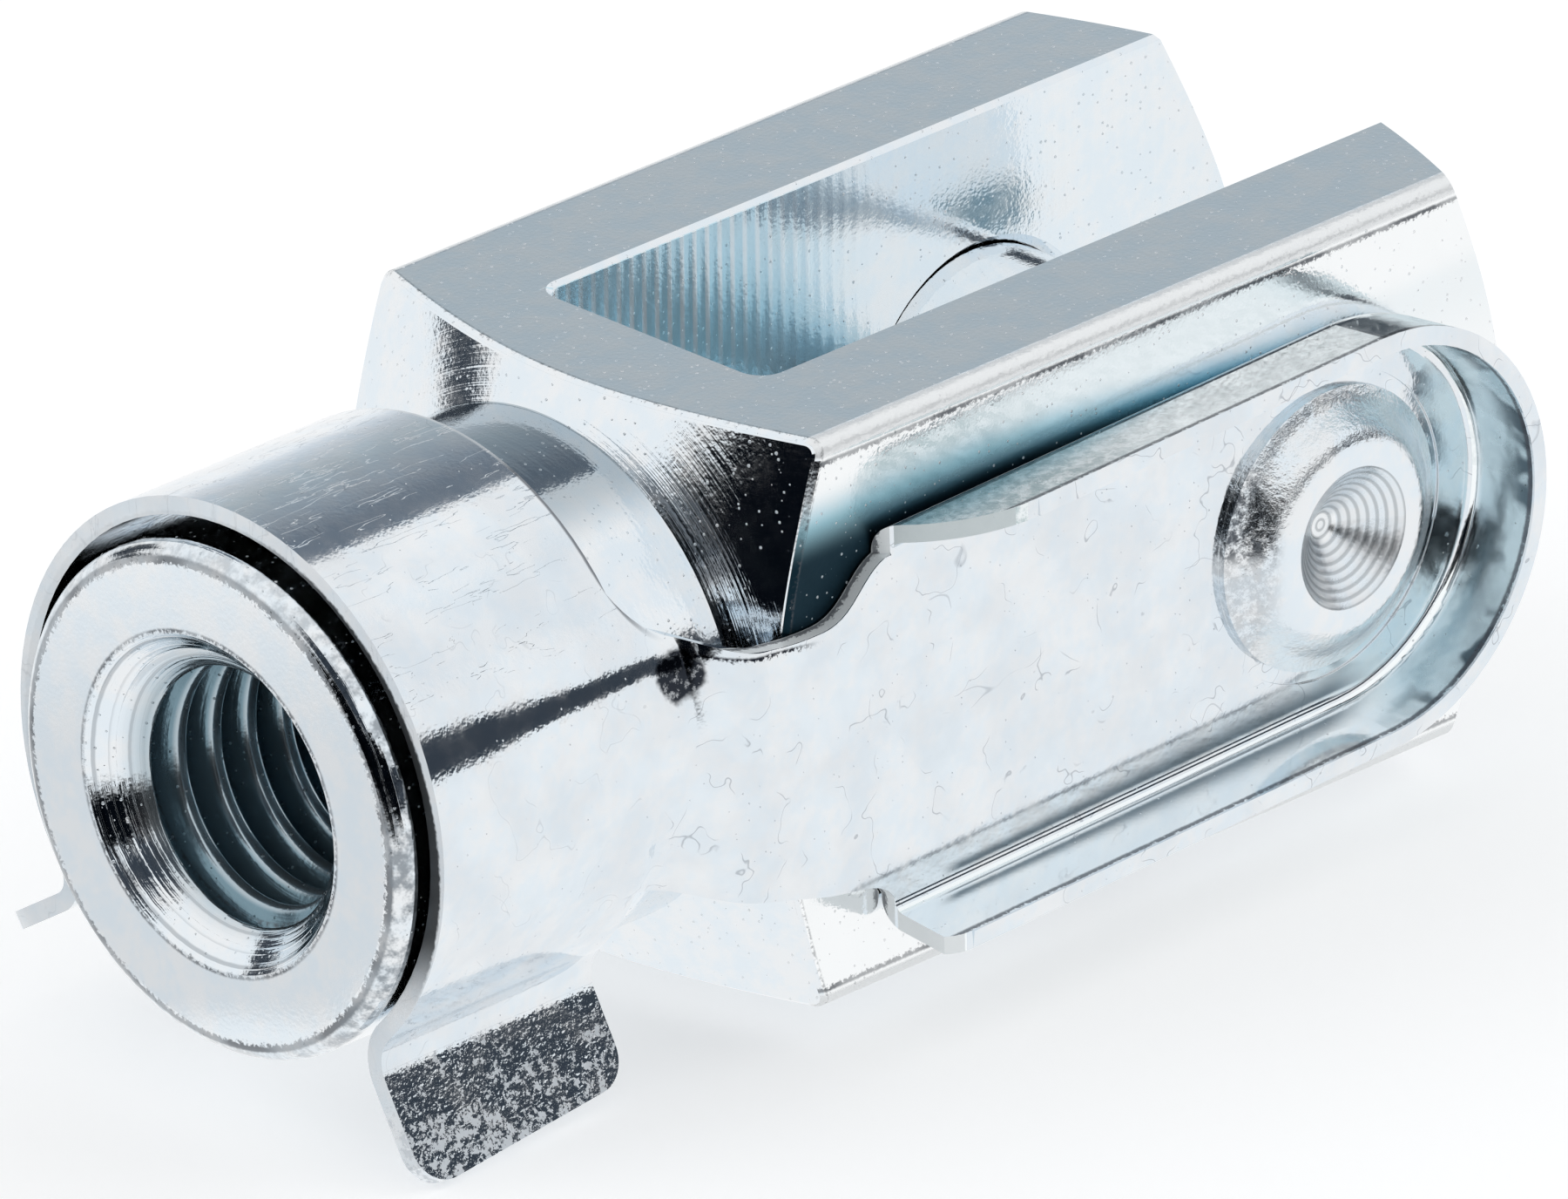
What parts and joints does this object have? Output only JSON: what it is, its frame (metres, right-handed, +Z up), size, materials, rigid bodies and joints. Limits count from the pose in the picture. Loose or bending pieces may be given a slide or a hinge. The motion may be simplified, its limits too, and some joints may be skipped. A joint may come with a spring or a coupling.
{
  "type": "clevis rod end",
  "caption": "Fork head for a threaded rod, square with a round neck and an open slot, closed by a riveted pin on a spring clip that snaps over the neck.",
  "frame": {"origin": "where the pin's axis crosses the rod's axis, in the middle of the slot", "axes": "+X along the rod axis towards the open end of the fork, +Y along the pin axis away from the clip's arm, +Z up, away from the clip's open side"},
  "size_m": [0.0418, 0.0193, 0.0171],
  "materials": {
    "fork_zinc": "bright zinc plating over turned and milled steel",
    "clip_zinc": "bright zinc plating over pressed spring steel",
    "pin_zinc": "bright zinc plating, head set by a punch"
  },
  "bodies": {
    "fork": {"fork_head": "fork_zinc"},
    "clip": {"spring_clip": "clip_zinc", "clevis_pin": "pin_zinc"}
  },
  "joints": [
    {"name": "clip_swing", "type": "hinge", "parent": "fork", "child": "clip", "pos_m": [0, 0, 0], "axis": [0, 1, 0], "range_deg": [0, 180], "deforming": ["spring_clip"]}
  ]
}
